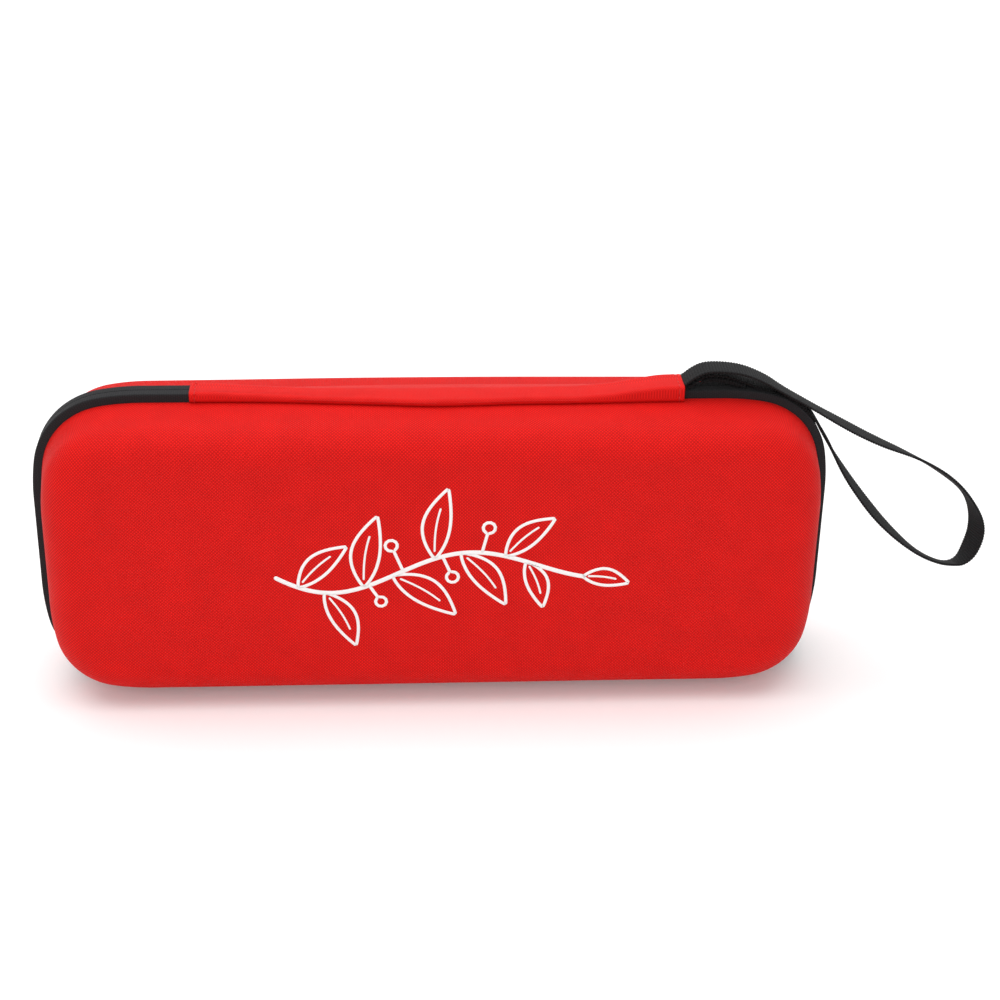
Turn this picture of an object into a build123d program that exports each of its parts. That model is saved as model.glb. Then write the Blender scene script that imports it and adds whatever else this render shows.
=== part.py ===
"""Hard zip case for a stethoscope, standing on its long zipper edge.

Two moulded half shells of foam, each with a woven cover and a knitted lining, meet at a
zipper that runs round the rim. A fabric spine along the top edge is the hinge. X runs along
the case, the front face looks towards -Y and Z is up. The origin is on the floor, under the
middle of the case. All sizes are in millimetres.
"""

from build123d import *
import os
from math import cos, sin, tan, radians

os.makedirs("parts", exist_ok=True)

# --- moulded half shells -----------------------------------------------------------------
shell_length = 284.0          # rim outline along X, without the zipper band
shell_height = 110.2          # rim outline along Z, without the zipper band
half_depth = 30.0             # from the parting plane to each broad face
wall_draft = 7.0              # degrees, side walls lean in towards the broad face
face_fillet = 12.5            # rolled edge between side wall and broad face
corner_radius = 26.5          # middle arc of each rim corner
flank_radius = 85.0           # slack arcs that lead into each corner
flank_angle = 10.0            # degrees turned by each slack arc
cover_thickness = 0.8         # woven outer cover
foam_thickness = 4.0          # pressed foam
lining_thickness = 0.8        # knitted lining

# --- rim, band and zipper ----------------------------------------------------------------
rim_gap = 2.6                 # parting plane to the rim face of each shell
lip_thickness = 0.9           # pressed lip that stands up round the rim
band_half_width = 4.1         # half the black band, measured from the parting plane
band_proud = 3.2              # band above the rim outline
tape_thickness = 0.8
tape_gap = 0.45               # parting plane to the tape's free edge
coil_width = 1.65
coil_thickness = 1.5
binding_width = 9.4           # edge binding, along the wall inside the rim
binding_thickness = 0.6
stop_length = 3.0
stop_width = 4.4
chain_clearance = 0.5         # between an end stop and the coil or tape beside it

# --- spine -------------------------------------------------------------------------------
spine_length = 177.0
spine_edge_at_band = 4.6      # parting plane to the sewn edges, where the band runs in
spine_edge_at_low_start = 6.0
spine_edge_at_middle = 8.8
spine_edge_at_strap = 7.6     # and over the sewn ends of the strap
spine_thickness = 1.0
spine_tape_lap = 6.0          # zipper tape that runs in under each end of the spine
lip_gap_half = 75.0           # the lip and the band stop here, on both sides of the middle
low_crest_drop = 1.4          # the spine sinks this far below the band's top between the bands
low_crest_back = 1.2          # the crest ends here behind the parting plane
fold_width = 1.3              # in front it runs on to a soft fold beside the sewn edge
low_start = -45.0             # the spine has sunk to its low crest by here
low_end = 58.0                # and rises again from here to the strap
seam_clearance = 0.05
hinge_clearance = 0.05        # hinge axis above the spine, which folds between the two bands
hinge_ramp = 8.0              # the hinge tape comes down from the bands along this length
inner_strip_thickness = 0.6
inner_strip_half_width = 10.0

# --- wrist strap -------------------------------------------------------------------------
strap_width = 10.0
strap_thickness = 1.0
strap_slack = 0.1             # between the two sewn layers of the strap
bend_share = 0.45             # share of each run of the strap given to the bend at its end
root_length = 15.0            # sewn ends of the strap under the spine
root_overhang = 1.5           # sewn ends beyond the end of the spine

# --- sliders and pulls -------------------------------------------------------------------
lower_slider_angle = 33.0     # degrees round the corner from straight down
slider_pitch = 17.5           # degrees from one slider to the next
slider_arc = 16.5             # degrees covered by one slider
outer_plate_thickness = 1.2
outer_plate_half_width = 3.9
inner_plate_thickness = 1.1
inner_plate_half_width = 2.2
plate_clearance = 0.2         # outer plate above the band
inner_plate_clearance = 0.35  # inner plate below the coil
neck_half_width = 0.28
neck_arc = 7.0                # degrees
bridge_bar_radius = 0.6
bridge_length = 8.0
bridge_foot_length = 1.3
bail_wire_radius = 0.5
bail_clearance = 0.12
bail_length = 9.0             # bridge bar to the far bend of the bail
grip_length = 20.0
grip_width = 7.0
grip_thickness = 3.0
grip_lap = 4.5                # bail moulded into the grip
grip_fillet = 1.2

# --- inside ------------------------------------------------------------------------------
pocket_depth = 8.0            # mesh pocket, from the parting plane
mesh_thickness = 0.6
pocket_height = 78.0          # top edge of the mesh above the floor
elastic_width = 8.0
elastic_thickness = 1.0
holding_band_width = 25.0
holding_band_thickness = 1.2
holding_band_height = 3.2     # above the lining of the broad face
holding_band_place = 62.0     # from the middle of the case

# --- worked out from the values above ------------------------------------------------------
foam_inset = cover_thickness
lining_inset = foam_inset + foam_thickness
inside_inset = lining_inset + lining_thickness
bound_inset = inside_inset + binding_thickness
rim_middle = band_proud + shell_height / 2
rim_top = band_proud + shell_height
band_top = rim_top + band_proud
low_crest = band_top - low_crest_drop
tape_inset = tape_thickness - band_proud
coil_inset = tape_inset + coil_thickness
lip_outer = rim_gap + lip_thickness
reach = 2 * shell_length      # cutting boxes are larger than the whole case
half_turn = radians(flank_angle)
corner_extent = (
    flank_radius * sin(half_turn)
    + corner_radius * (cos(half_turn) - sin(half_turn))
    + flank_radius * (1 - cos(half_turn))
)
corner_offset = flank_radius - (flank_radius - corner_radius) * cos(half_turn)
corner_x = shell_length / 2 - corner_offset
corner_z = band_proud + corner_offset


def rim_plane(side, depth):
    """Plane parallel to the parting plane, facing the broad face of one half (-1 front, 1 back)."""
    return Plane(origin=(0, side * depth, rim_middle), x_dir=(-side, 0, 0), z_dir=(0, side, 0))


def rim_face(inset, mode=Mode.ADD):
    """Rim outline moved inwards by inset: four straight runs and four soft corners."""
    half_x = shell_length / 2 - inset
    half_z = shell_height / 2 - inset
    extent = corner_extent - inset
    runs = [2 * (half_x - extent), 2 * (half_z - extent)] * 2
    arcs = [
        (flank_radius - inset, flank_angle),
        (corner_radius - inset, 90 - 2 * flank_angle),
        (flank_radius - inset, flank_angle),
    ]
    with BuildLine() as outline:
        place = Vector(extent - half_x, -half_z)
        heading = Vector(1, 0)
        for run in runs:
            straight = Line(place, place + heading * run)
            place = straight @ 1
            for radius, turn in arcs:
                bend = JernArc(place, heading, radius, turn)
                place = bend @ 1
                heading = bend % 1
    make_face(outline.edges(), mode=mode)


def pillow(side, inset):
    """Solid form of one half moved inwards by inset: drafted walls and a rolled face edge."""
    with BuildPart() as form:
        with BuildSketch(rim_plane(side, band_half_width)):
            rim_face(inset)
        extrude(amount=half_depth - inset - band_half_width)
        walls = form.faces().filter_by(Axis.Y, reverse=True)
        draft(walls, rim_plane(side, band_half_width), wall_draft)
        broad_face = form.faces().filter_by(Axis.Y).sort_by(Axis.Y)[-1 if side > 0 else 0]
        fillet(broad_face.edges(), face_fillet - inset)
        with BuildSketch(rim_plane(side, rim_gap)):
            rim_face(inset)
        extrude(amount=band_half_width - rim_gap)
    return form.part


def rim_ring(side, start, end, outer_inset, inner_inset, mode=Mode.ADD):
    """Ring that follows the rim outline between two depths and two insets."""
    with BuildSketch(rim_plane(side, start)) as ring:
        rim_face(outer_inset)
        rim_face(inner_inset, mode=Mode.SUBTRACT)
    extrude(ring.sketch, amount=end - start, mode=mode)


def slab(side, start, end, mode):
    """Slab across the whole case between two depths of one half."""
    with BuildSketch(rim_plane(side, start)) as section:
        Rectangle(reach, reach)
    extrude(section.sketch, amount=end - start, mode=mode)


def top_box(half_length, half_width, bottom, top, middle=0.0, mode=Mode.ADD):
    """Box along the top edge of the case, centred on the parting plane."""
    with BuildSketch(Plane.XY.offset(bottom)) as section:
        with Locations((middle, 0)):
            Rectangle(2 * half_length, 2 * half_width)
    extrude(section.sketch, amount=top - bottom, mode=mode)


halves = {"front": -1, "back": 1}
outside = {name: pillow(side, 0.0) for name, side in halves.items()}
foam_form = {name: pillow(side, foam_inset) for name, side in halves.items()}
lining_form = {name: pillow(side, lining_inset) for name, side in halves.items()}
inside = {name: pillow(side, inside_inset) for name, side in halves.items()}
bound_form = {name: pillow(side, bound_inset) for name, side in halves.items()}


def finish(piece, name):
    """Labels a finished piece and writes it."""
    piece.part.label = name
    export_step(piece.part, f"parts/{name}.step")


spine_end = spine_length / 2
tape_end = spine_end - spine_tape_lap
stop_start = tape_end + chain_clearance
coil_end = stop_start + stop_length + chain_clearance

for name, side in halves.items():
    # Pressed foam shell with its thin lip round the rim.
    with BuildPart() as lip:
        rim_ring(side, rim_gap, lip_outer, tape_inset, foam_inset)
        top_box(lip_gap_half, reach, rim_middle, band_top + reach, mode=Mode.SUBTRACT)
    with BuildPart() as shell:
        add(foam_form[name])
        add(lip.part)
        add(lining_form[name], mode=Mode.SUBTRACT)
    finish(shell, f"{name}_shell")

    # Woven cover, laminated to the foam and tucked in behind the band.
    with BuildPart() as cover:
        add(outside[name])
        add(foam_form[name], mode=Mode.SUBTRACT)
        slab(side, 0, lip_outer, Mode.SUBTRACT)
    finish(cover, f"{name}_cover")

    # Knitted lining.
    with BuildPart() as lining:
        add(lining_form[name])
        add(inside[name], mode=Mode.SUBTRACT)
    finish(lining, f"{name}_lining")

    # Binding tape that hides the cut edge of the lining inside the rim.
    with BuildPart() as binding:
        add(inside[name])
        add(bound_form[name], mode=Mode.SUBTRACT)
        slab(side, rim_gap, rim_gap + binding_width, Mode.INTERSECT)
    finish(binding, f"{name}_edge_binding")

    # Zipper tape: an outer web over the lip and a side web sewn down beside it.
    with BuildPart() as tape:
        rim_ring(side, tape_gap, band_half_width, -band_proud, tape_inset)
        rim_ring(side, lip_outer, band_half_width, tape_inset, 0.0)
        top_box(tape_end, reach, rim_middle, band_top + reach, mode=Mode.SUBTRACT)
    finish(tape, f"{name}_zipper_tape")

    # Zipper coil, on the inner side of the tape.
    with BuildPart() as coil:
        rim_ring(side, tape_gap, tape_gap + coil_width, tape_inset, coil_inset)
        top_box(coil_end, reach, rim_middle, band_top + reach, mode=Mode.SUBTRACT)
    finish(coil, f"{name}_zipper_coil")

# --- spine and hinge -----------------------------------------------------------------------
tape_underside = band_top - tape_thickness


def wall_height(depth):
    """Height of the top side wall at a depth from the parting plane."""
    return rim_top - (depth - band_half_width) * tan(radians(wall_draft))


def spine_section(x, crest, front, back, edge_half_width):
    """Section of the spine. Its crest runs from front to back, and slants down to both edges."""
    edge = wall_height(edge_half_width) + seam_clearance
    slant = spine_thickness / 2
    with BuildSketch(Plane.YZ.offset(x)) as section:
        with BuildLine():
            Polyline(
                (-edge_half_width, edge),
                (-front, crest),
                (back, crest),
                (edge_half_width, edge),
                (edge_half_width + slant, edge + spine_thickness),
                (back + slant, crest + spine_thickness),
                (-front - slant, crest + spine_thickness),
                (-edge_half_width - slant, edge + spine_thickness),
                close=True,
            )
        make_face()
    return section.sketch


def level_section(x, crest, half_width, edge_half_width):
    """Section of the spine where it lies on something: its crest is as wide on both sides."""
    return spine_section(x, crest, half_width, half_width, edge_half_width)


def low_section(x, edge_half_width):
    """Section of the spine between the bands, where it falls forward into a soft fold."""
    return spine_section(
        x, low_crest, edge_half_width - fold_width, low_crest_back, edge_half_width
    )


root_thickness = 2 * strap_thickness + strap_slack
root_end = spine_end + root_overhang
root_start = root_end - root_length
raised_start = root_start - seam_clearance
crest_on_band = band_top + seam_clearance
crest_on_root = crest_on_band + root_thickness
half_width_on_band = band_half_width + seam_clearance
half_width_on_root = strap_width / 2 + seam_clearance
spine_sections = [
    level_section(-spine_end, crest_on_band, half_width_on_band, spine_edge_at_band),
    level_section(-lip_gap_half, crest_on_band, half_width_on_band, spine_edge_at_band),
    low_section(low_start, spine_edge_at_low_start),
    low_section(0, spine_edge_at_middle),
    low_section(low_end, spine_edge_at_strap),
    level_section(raised_start, crest_on_root, half_width_on_root, spine_edge_at_strap),
    level_section(spine_end, crest_on_root, half_width_on_root, spine_edge_at_strap),
]

# Red fabric strip over the hinge, lifted at one end by the strap sewn in under it.
with BuildPart() as spine_cover:
    for here, there in zip(spine_sections, spine_sections[1:]):
        loft([here, there], ruled=True)
finish(spine_cover, "spine_cover")


hinge_half_width = lip_outer - seam_clearance


def hinge_section(x, underside):
    """Flat section of the hinge tape."""
    with BuildSketch(Plane.YZ.offset(x)) as section:
        with Locations((0, underside + tape_thickness / 2)):
            Rectangle(2 * hinge_half_width, tape_thickness)
    return section.sketch


# Webbing hinge: level with the bands at both ends, and down between the shells elsewhere.
hinge_end = tape_end - chain_clearance
hinge_high_start = lip_gap_half - chain_clearance
hinge_low_end = hinge_high_start - hinge_ramp
hinge_low = rim_top - foam_inset + seam_clearance
hinge_sections = [
    hinge_section(-hinge_end, tape_underside),
    hinge_section(-hinge_high_start, tape_underside),
    hinge_section(-hinge_low_end, hinge_low),
    hinge_section(hinge_low_end, hinge_low),
    hinge_section(hinge_high_start, tape_underside),
    hinge_section(hinge_end, tape_underside),
]
with BuildPart() as hinge_tape:
    for here, there in zip(hinge_sections, hinge_sections[1:]):
        loft([here, there], ruled=True)
finish(hinge_tape, "hinge_tape")

# Inner strip that covers the hinge from inside.
strip_inset = bound_inset + inner_strip_thickness
strip_form = {name: pillow(side, strip_inset) for name, side in halves.items()}
with BuildPart() as hinge_lining:
    for name, side in halves.items():
        add(bound_form[name])
        rim_ring(side, 0, rim_gap, bound_inset, strip_inset)
    for name, side in halves.items():
        add(strip_form[name], mode=Mode.SUBTRACT)
    top_box(spine_end, inner_strip_half_width, rim_middle, band_top, mode=Mode.INTERSECT)
finish(hinge_lining, "hinge_lining")

# End stops of the zipper, hidden under the ends of the spine.
for name, sense in {"left": -1, "right": 1}.items():
    with BuildPart() as end_stop:
        top_box(
            stop_length / 2,
            stop_width / 2,
            tape_underside - coil_thickness,
            tape_underside,
            middle=sense * (stop_start + stop_length / 2),
        )
    finish(end_stop, f"{name}_end_stop")

# --- wrist strap ---------------------------------------------------------------------------
# Both ends of the webbing, one on the other, sewn down on the band.
with BuildPart() as strap_root:
    top_box(
        root_length / 2,
        strap_width / 2,
        band_top,
        band_top + root_thickness,
        middle=root_end - root_length / 2,
    )
finish(strap_root, "strap_root")

# Centre line of the loop in the XZ plane: out along the upper strand and back along the
# lower one, which lies round the corner of the band.
lower_exit_z = band_top + strap_thickness / 2
upper_exit_z = band_top + root_thickness - strap_thickness / 2
strap_route = [
    (root_end, upper_exit_z),
    (92.4, upper_exit_z),
    (95.6, 123.4),
    (102.2, 125.6),
    (112.0, 123.6),
    (122.5, 118.9),
    (134.0, 112.6),
    (147.0, 103.6),
    (163.0, 94.9),
    (178.5, 87.9),
    (192.0, 80.6),
    (202.5, 70.5),
    (206.6, 57.0),
    (203.4, 44.6),
    (195.5, 40.6),
    (184.5, 45.6),
    (172.5, 56.4),
    (161.5, 69.0),
    (152.0, 83.0),
    (144.6, 98.6),
    (135.6, 110.2),
    (122.8, 116.8),
    (110.6, 121.2),
    (101.4, 122.9),
    (96.8, 121.1),
    (93.6, lower_exit_z),
    (root_end, lower_exit_z),
]


def bend_radii(route):
    """Largest radius that the two runs at each corner leave room for."""
    radii = []
    for before, here, after in zip(route, route[1:], route[2:]):
        run_in = Vector(*here) - Vector(*before)
        run_out = Vector(*after) - Vector(*here)
        turn = radians(run_in.get_angle(run_out))
        radii.append(bend_share * min(run_in.length, run_out.length) / tan(turn / 2))
    return radii


strap_radii = bend_radii(strap_route)
with BuildPart() as wrist_strap:
    with BuildLine(Plane.XZ) as strap_path:
        FilletPolyline(*strap_route, radius=strap_radii)
    with BuildSketch(Plane(origin=strap_path.line @ 0, z_dir=strap_path.line % 0, x_dir=(0, 1, 0))):
        Rectangle(strap_width, strap_thickness)
    sweep(path=strap_path.line)
finish(wrist_strap, "wrist_strap")
print("strap bend radii", [round(radius, 1) for radius in strap_radii])
strap_section = strap_width * strap_thickness
strap_length = strap_path.wires()[0].length
print("strap length", round(strap_length, 1))
print("strap volume / section x length", wrist_strap.part.volume / strap_section / strap_length)

# --- sliders and pulls ---------------------------------------------------------------------
corner_axis = Axis((corner_x, 0, corner_z), (0, -1, 0))
band_radius = corner_radius + band_proud
plate_start = band_radius + plate_clearance
plate_top = plate_start + outer_plate_thickness
coil_radius = corner_radius - coil_inset
inner_plate_top = coil_radius - inner_plate_clearance
bail_bend_radius = bridge_bar_radius + bail_clearance + bail_wire_radius
bar_radius = plate_top + bail_clearance + bail_wire_radius + bail_bend_radius


def corner_direction(angle):
    """Outward direction at an angle round the lower corner, from straight down."""
    return Vector(sin(radians(angle)), 0, -cos(radians(angle)))


def travel_plane(angle, along=0.0):
    """Plane across the zipper at a slider, moved along its travel; its x axis points outwards."""
    outward = corner_direction(angle)
    travel = Vector(-outward.Z, 0, outward.X)
    return Plane(
        origin=Vector(corner_x, 0, corner_z) + travel * along,
        x_dir=outward,
        z_dir=travel,
    )


def corner_sector(start, arc, inner_radius, outer_radius, half_width):
    """Curved plate about the corner axis."""
    with BuildSketch(travel_plane(start)) as section:
        with Locations(((inner_radius + outer_radius) / 2, 0)):
            Rectangle(outer_radius - inner_radius, 2 * half_width)
    revolve(section.sketch, axis=corner_axis, revolution_arc=arc)


sliders = {"lower": lower_slider_angle, "upper": lower_slider_angle + slider_pitch}
for name, angle in sliders.items():
    first = angle - slider_arc / 2
    neck_start = angle + slider_arc / 2 - neck_arc if name == "lower" else first
    # Slider casting: outer plate, inner plate, the neck between them and the bridge.
    with BuildPart() as slider:
        corner_sector(first, slider_arc, plate_start, plate_top, outer_plate_half_width)
        corner_sector(
            first,
            slider_arc,
            inner_plate_top - inner_plate_thickness,
            inner_plate_top,
            inner_plate_half_width,
        )
        corner_sector(
            neck_start,
            neck_arc,
            inner_plate_top - inner_plate_thickness / 2,
            plate_top - outer_plate_thickness / 2,
            neck_half_width,
        )
        with BuildSketch(travel_plane(angle, -bridge_length / 2)):
            with Locations((bar_radius, 0)):
                Circle(bridge_bar_radius)
        extrude(amount=bridge_length)
        foot_bottom = plate_top - outer_plate_thickness / 2
        for along in (-bridge_length / 2, bridge_length / 2 - bridge_foot_length):
            with BuildSketch(travel_plane(angle, along)):
                with Locations(((foot_bottom + bar_radius) / 2, 0)):
                    Rectangle(bar_radius - foot_bottom, 2 * bridge_bar_radius)
            extrude(amount=bridge_foot_length)
    finish(slider, f"{name}_slider")

    # Wire bail round the bridge bar, lying back behind the case.
    across = travel_plane(angle)
    with BuildPart() as bail:
        with BuildLine(across) as loop:
            near = Line(
                (bar_radius - bail_bend_radius, 0),
                (bar_radius - bail_bend_radius, bail_length),
            )
            far_bend = JernArc(near @ 1, near % 1, bail_bend_radius, -180)
            back_leg = Line(far_bend @ 1, (bar_radius + bail_bend_radius, 0))
            JernArc(back_leg @ 1, back_leg % 1, bail_bend_radius, -180)
        with BuildSketch(Plane(origin=near @ 0, z_dir=near % 0)):
            Circle(bail_wire_radius)
        sweep(path=loop.line)
    finish(bail, f"{name}_pull_bail")

    # Moulded grip on the end of the bail.
    grip_start = bail_length - grip_lap
    with BuildPart() as grip:
        with BuildSketch(travel_plane(angle, -grip_width / 2)):
            with Locations((bar_radius, grip_start + grip_length / 2)):
                RectangleRounded(grip_thickness, grip_length, grip_fillet)
        extrude(amount=grip_width)
        add(bail.part, mode=Mode.SUBTRACT)
    finish(grip, f"{name}_pull_grip")

# --- inside --------------------------------------------------------------------------------
front = halves["front"]
back = halves["back"]

# Mesh pocket across the front half, open at its upper edge.
with BuildPart() as mesh_pocket:
    slab(front, pocket_depth, pocket_depth + mesh_thickness, Mode.ADD)
    add(bound_form["front"], mode=Mode.INTERSECT)
    top_box(reach, reach, pocket_height, pocket_height + reach, mode=Mode.SUBTRACT)
finish(mesh_pocket, "mesh_pocket")

# Elastic along the pocket's upper edge.
with BuildPart() as pocket_elastic:
    slab(front, pocket_depth - elastic_thickness, pocket_depth, Mode.ADD)
    add(bound_form["front"], mode=Mode.INTERSECT)
    top_box(reach, reach, pocket_height - elastic_width, pocket_height, mode=Mode.INTERSECT)
finish(pocket_elastic, "pocket_elastic")

# Elastic bands that hold the instrument in the back half.
lining_floor = half_depth - inside_inset
band_outer = lining_floor - holding_band_height
for name, sense in {"left": -1, "right": 1}.items():
    with BuildPart() as holding_band:
        slab(back, band_outer - holding_band_thickness, band_outer, Mode.ADD)
        add(inside["back"], mode=Mode.INTERSECT)
        top_box(
            holding_band_width / 2,
            reach,
            0,
            band_top,
            middle=sense * holding_band_place,
            mode=Mode.INTERSECT,
        )
    finish(holding_band, f"{name}_holding_band")

print("hinge axis height", band_top + seam_clearance + spine_thickness + hinge_clearance)
print("corner axis", corner_x, corner_z, "bar radius", bar_radius)
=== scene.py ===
# %% [markdown]
# # A hard zip case for a stethoscope
# The case is two pressed foam shells with a woven cover. A zipper runs round the rim, a
# strip of the cover's cloth along the top edge is the hinge, and a loop of webbing is sewn
# in under one end of that strip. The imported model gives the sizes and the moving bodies,
# and each step below dresses one piece of it.

import math

import bmesh
import bpy
import numpy as np
from mathutils import Matrix, Vector


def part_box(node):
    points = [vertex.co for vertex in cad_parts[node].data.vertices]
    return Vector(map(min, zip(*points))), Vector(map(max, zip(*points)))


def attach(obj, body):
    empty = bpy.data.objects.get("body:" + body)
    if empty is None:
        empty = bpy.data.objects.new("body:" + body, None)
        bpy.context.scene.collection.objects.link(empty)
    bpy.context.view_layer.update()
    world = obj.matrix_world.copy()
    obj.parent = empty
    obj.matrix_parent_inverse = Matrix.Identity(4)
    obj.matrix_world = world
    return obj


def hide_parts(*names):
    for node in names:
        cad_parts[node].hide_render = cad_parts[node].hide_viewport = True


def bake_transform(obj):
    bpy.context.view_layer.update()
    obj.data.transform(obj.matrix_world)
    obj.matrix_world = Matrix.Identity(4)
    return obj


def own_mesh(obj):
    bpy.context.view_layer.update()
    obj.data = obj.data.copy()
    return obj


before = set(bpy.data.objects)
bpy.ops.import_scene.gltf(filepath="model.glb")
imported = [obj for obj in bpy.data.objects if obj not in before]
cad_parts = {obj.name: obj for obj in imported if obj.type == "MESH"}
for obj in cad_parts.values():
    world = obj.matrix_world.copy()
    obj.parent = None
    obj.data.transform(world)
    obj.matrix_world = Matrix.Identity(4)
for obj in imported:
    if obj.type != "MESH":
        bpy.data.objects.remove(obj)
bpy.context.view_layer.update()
MM = 0.001

# %% [markdown]
# ## Camera
# The camera looks down on the case from the front by 27 degrees, from a little to the left,
# and is rolled by just over one degree. Its lens is long for the subject, so the case's
# outline hardly tapers. A rotation matrix is built from its three axes, because a tracked
# camera can't be rolled.

# %% Camera
CAMERA_TARGET = Vector((24.55, 0.0, 71.0)) * MM
CAMERA_DISTANCE = 739.16 * MM
CAMERA_ELEVATION = math.radians(26.97)
CAMERA_YAW = math.radians(-4.02)
CAMERA_ROLL = math.radians(1.20)
LENS = 71.80
SENSOR = 36.0


def camera_axes(elevation, yaw, roll):
    """Right, up and backward axes of a camera that looks along +Y, turned by yaw and raised."""
    level = math.cos(elevation)
    back = Vector((math.sin(yaw) * level, -math.cos(yaw) * level, math.sin(elevation)))
    level_right = Vector((math.cos(yaw), math.sin(yaw), 0.0))
    level_up = back.cross(level_right)
    right = math.cos(roll) * level_right + math.sin(roll) * level_up
    up = -math.sin(roll) * level_right + math.cos(roll) * level_up
    return right, up, back


def in_scene(name, data):
    """New object that holds the data, linked to the scene."""
    holder = bpy.data.objects.new(name, data)
    bpy.context.scene.collection.objects.link(holder)
    return holder


camera_data = bpy.data.cameras.new("camera")
camera_data.lens = LENS
camera_data.sensor_width = SENSOR
camera_data.clip_start = 0.01
camera = in_scene("camera", camera_data)
camera_turn = camera_axes(CAMERA_ELEVATION, CAMERA_YAW, CAMERA_ROLL)
camera_place = Matrix.Translation(CAMERA_TARGET + CAMERA_DISTANCE * camera_turn[2])
camera.matrix_world = camera_place @ Matrix(camera_turn).transposed().to_4x4()
bpy.context.scene.camera = camera

# %% [markdown]
# ## Line of the wrist strap
# The strap is a loop of flat webbing. Both of its ends are sewn in under the spine, one on
# the other. It rises off the band, droops under its own stiffness, turns back at the far end
# and lies round the corner of the band on its way home. A NURBS curve through open air is
# smoother than arcs and straight runs, and it needs only the few points of the route. The
# run back lies a little behind the run out. The webbing is also turned about that line,
# because a loop of flat ribbon never lies square.

# %% Strap line


def lengths_along(line):
    """Distance along a line at each of its points."""
    return np.append(0.0, np.linalg.norm(np.diff(line, axis=0), axis=1).cumsum())


STRAP_ROUTE = (
    (0.0870, 0.0000, 0.1182),
    (0.0896, 0.0000, 0.1182),
    (0.0933, -0.0005, 0.1219),
    (0.0978, -0.0008, 0.1243),
    (0.1060, -0.0008, 0.1241),
    (0.1126, -0.0008, 0.1228),
    (0.1203, -0.0008, 0.1193),
    (0.1265, -0.0005, 0.1151),
    (0.1358, 0.0000, 0.1096),
    (0.1491, 0.0000, 0.1017),
    (0.1633, 0.0000, 0.0940),
    (0.1778, 0.0000, 0.0879),
    (0.1904, 0.0000, 0.0807),
    (0.2013, 0.0000, 0.0710),
    (0.2067, 0.0000, 0.0586),
    (0.2043, 0.0000, 0.0465),
    (0.1985, 0.0000, 0.0406),
    (0.1862, 0.0000, 0.0449),
    (0.1737, 0.0000, 0.0553),
    (0.1630, 0.0000, 0.0670),
    (0.1509, 0.0000, 0.0836),
    (0.1432, 0.0003, 0.0976),
    (0.1381, 0.0008, 0.1059),
    (0.1300, 0.0014, 0.1125),
    (0.1196, 0.0022, 0.1159),
    (0.1125, 0.0022, 0.1186),
    (0.1057, 0.0022, 0.1212),
    (0.0983, 0.0022, 0.1218),
    (0.0947, 0.0014, 0.1196),
    (0.0910, 0.0004, 0.1171),
    (0.0870, 0.0000, 0.1171),
)
STRAP_ROLL = (0, 0, 0, 0, 0, 0, 0, -4, -5, 0, -4, -16, -18, -7, -23, -16)
STRAP_ROLL += (23, 13, -2, -11, -8, 5, 0, 0, 0, 0, 0, 0, 0, 0, 0)
strap_curve = bpy.data.curves.new("strap_line", "CURVE")
strap_curve.dimensions = "3D"
strap_spline = strap_curve.splines.new("NURBS")
strap_spline.points.add(len(STRAP_ROUTE) - 1)
strap_spline.points.foreach_set("co", [v for place in STRAP_ROUTE for v in (*place, 1.0)])
strap_spline.order_u = 3
strap_spline.use_endpoint_u = True
strap_spline.resolution_u = 40
strap_holder = bpy.data.objects.new("strap_line", strap_curve)
strap_mesh = bpy.data.meshes.new_from_object(strap_holder)
strap_line = np.array([vertex.co[:] for vertex in strap_mesh.vertices])
strap_length = lengths_along(strap_line)[-1]
bpy.data.objects.remove(strap_holder)
bpy.data.meshes.remove(strap_mesh)
bpy.data.curves.remove(strap_curve)
print("strap line", len(strap_line), "points,", round(strap_length * 1000, 1), "mm")

# %% [markdown]
# ## One helper for shader nodes, and colours
# Each material is a short tree of nodes. One function adds a node, sets its properties and
# fills or links its inputs. Colours are written as the hex values a screen shows, and turned
# into the linear values that a shader works in.

# %% Node helper and colours


def linear(hex_colour):
    """Linear RGBA of sRGB hex: v / 12.92 up to 0.04045, and ((v + 0.055) / 1.055) ^ 2.4 above."""
    value = np.array([int(hex_colour[i : i + 2], 16) / 255 for i in (1, 3, 5)])
    curved = ((value + 0.055) / 1.055) ** 2.4
    return (*np.where(value <= 0.04045, value / 12.92, curved).tolist(), 1.0)


def node(tree, kind, inputs=None, **settings):
    """Adds a shader node, with its properties, and with a value or a link for each input."""
    made = tree.nodes.new("ShaderNode" + kind)
    for name, value in settings.items():
        setattr(made, name, value)
    for key, value in (inputs or {}).items():
        if isinstance(value, bpy.types.NodeSocket):
            tree.links.new(value, made.inputs[key])
        else:
            made.inputs[key].default_value = value
    return made


def new_material(name):
    """Empty material with its output node, ready for a surface."""
    material = bpy.data.materials.new(name)
    material.use_nodes = True
    material.node_tree.nodes.clear()
    return material, material.node_tree


def finish_material(tree, surface):
    """Links the surface shader to the material's output."""
    node(tree, "OutputMaterial", {"Surface": surface.outputs[0]})


# %% [markdown]
# ## Threads
# Every cloth on the case is drawn by the same few nodes. In a plain weave, warp and weft
# take turns on top, like the squares of a chessboard. The sines of both thread counts have
# the same sign on the black squares and opposite signs on the white ones, so their product
# says which thread is up. The absolute sines are the round backs of the threads. Their
# light and shade is painted into the colour: a painted shade in the gaps, a painted
# highlight on the backs, and the two sets painted lighter or darker, as if they took the
# light differently.

# %% Weave
MOTTLE = 0.045


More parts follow.
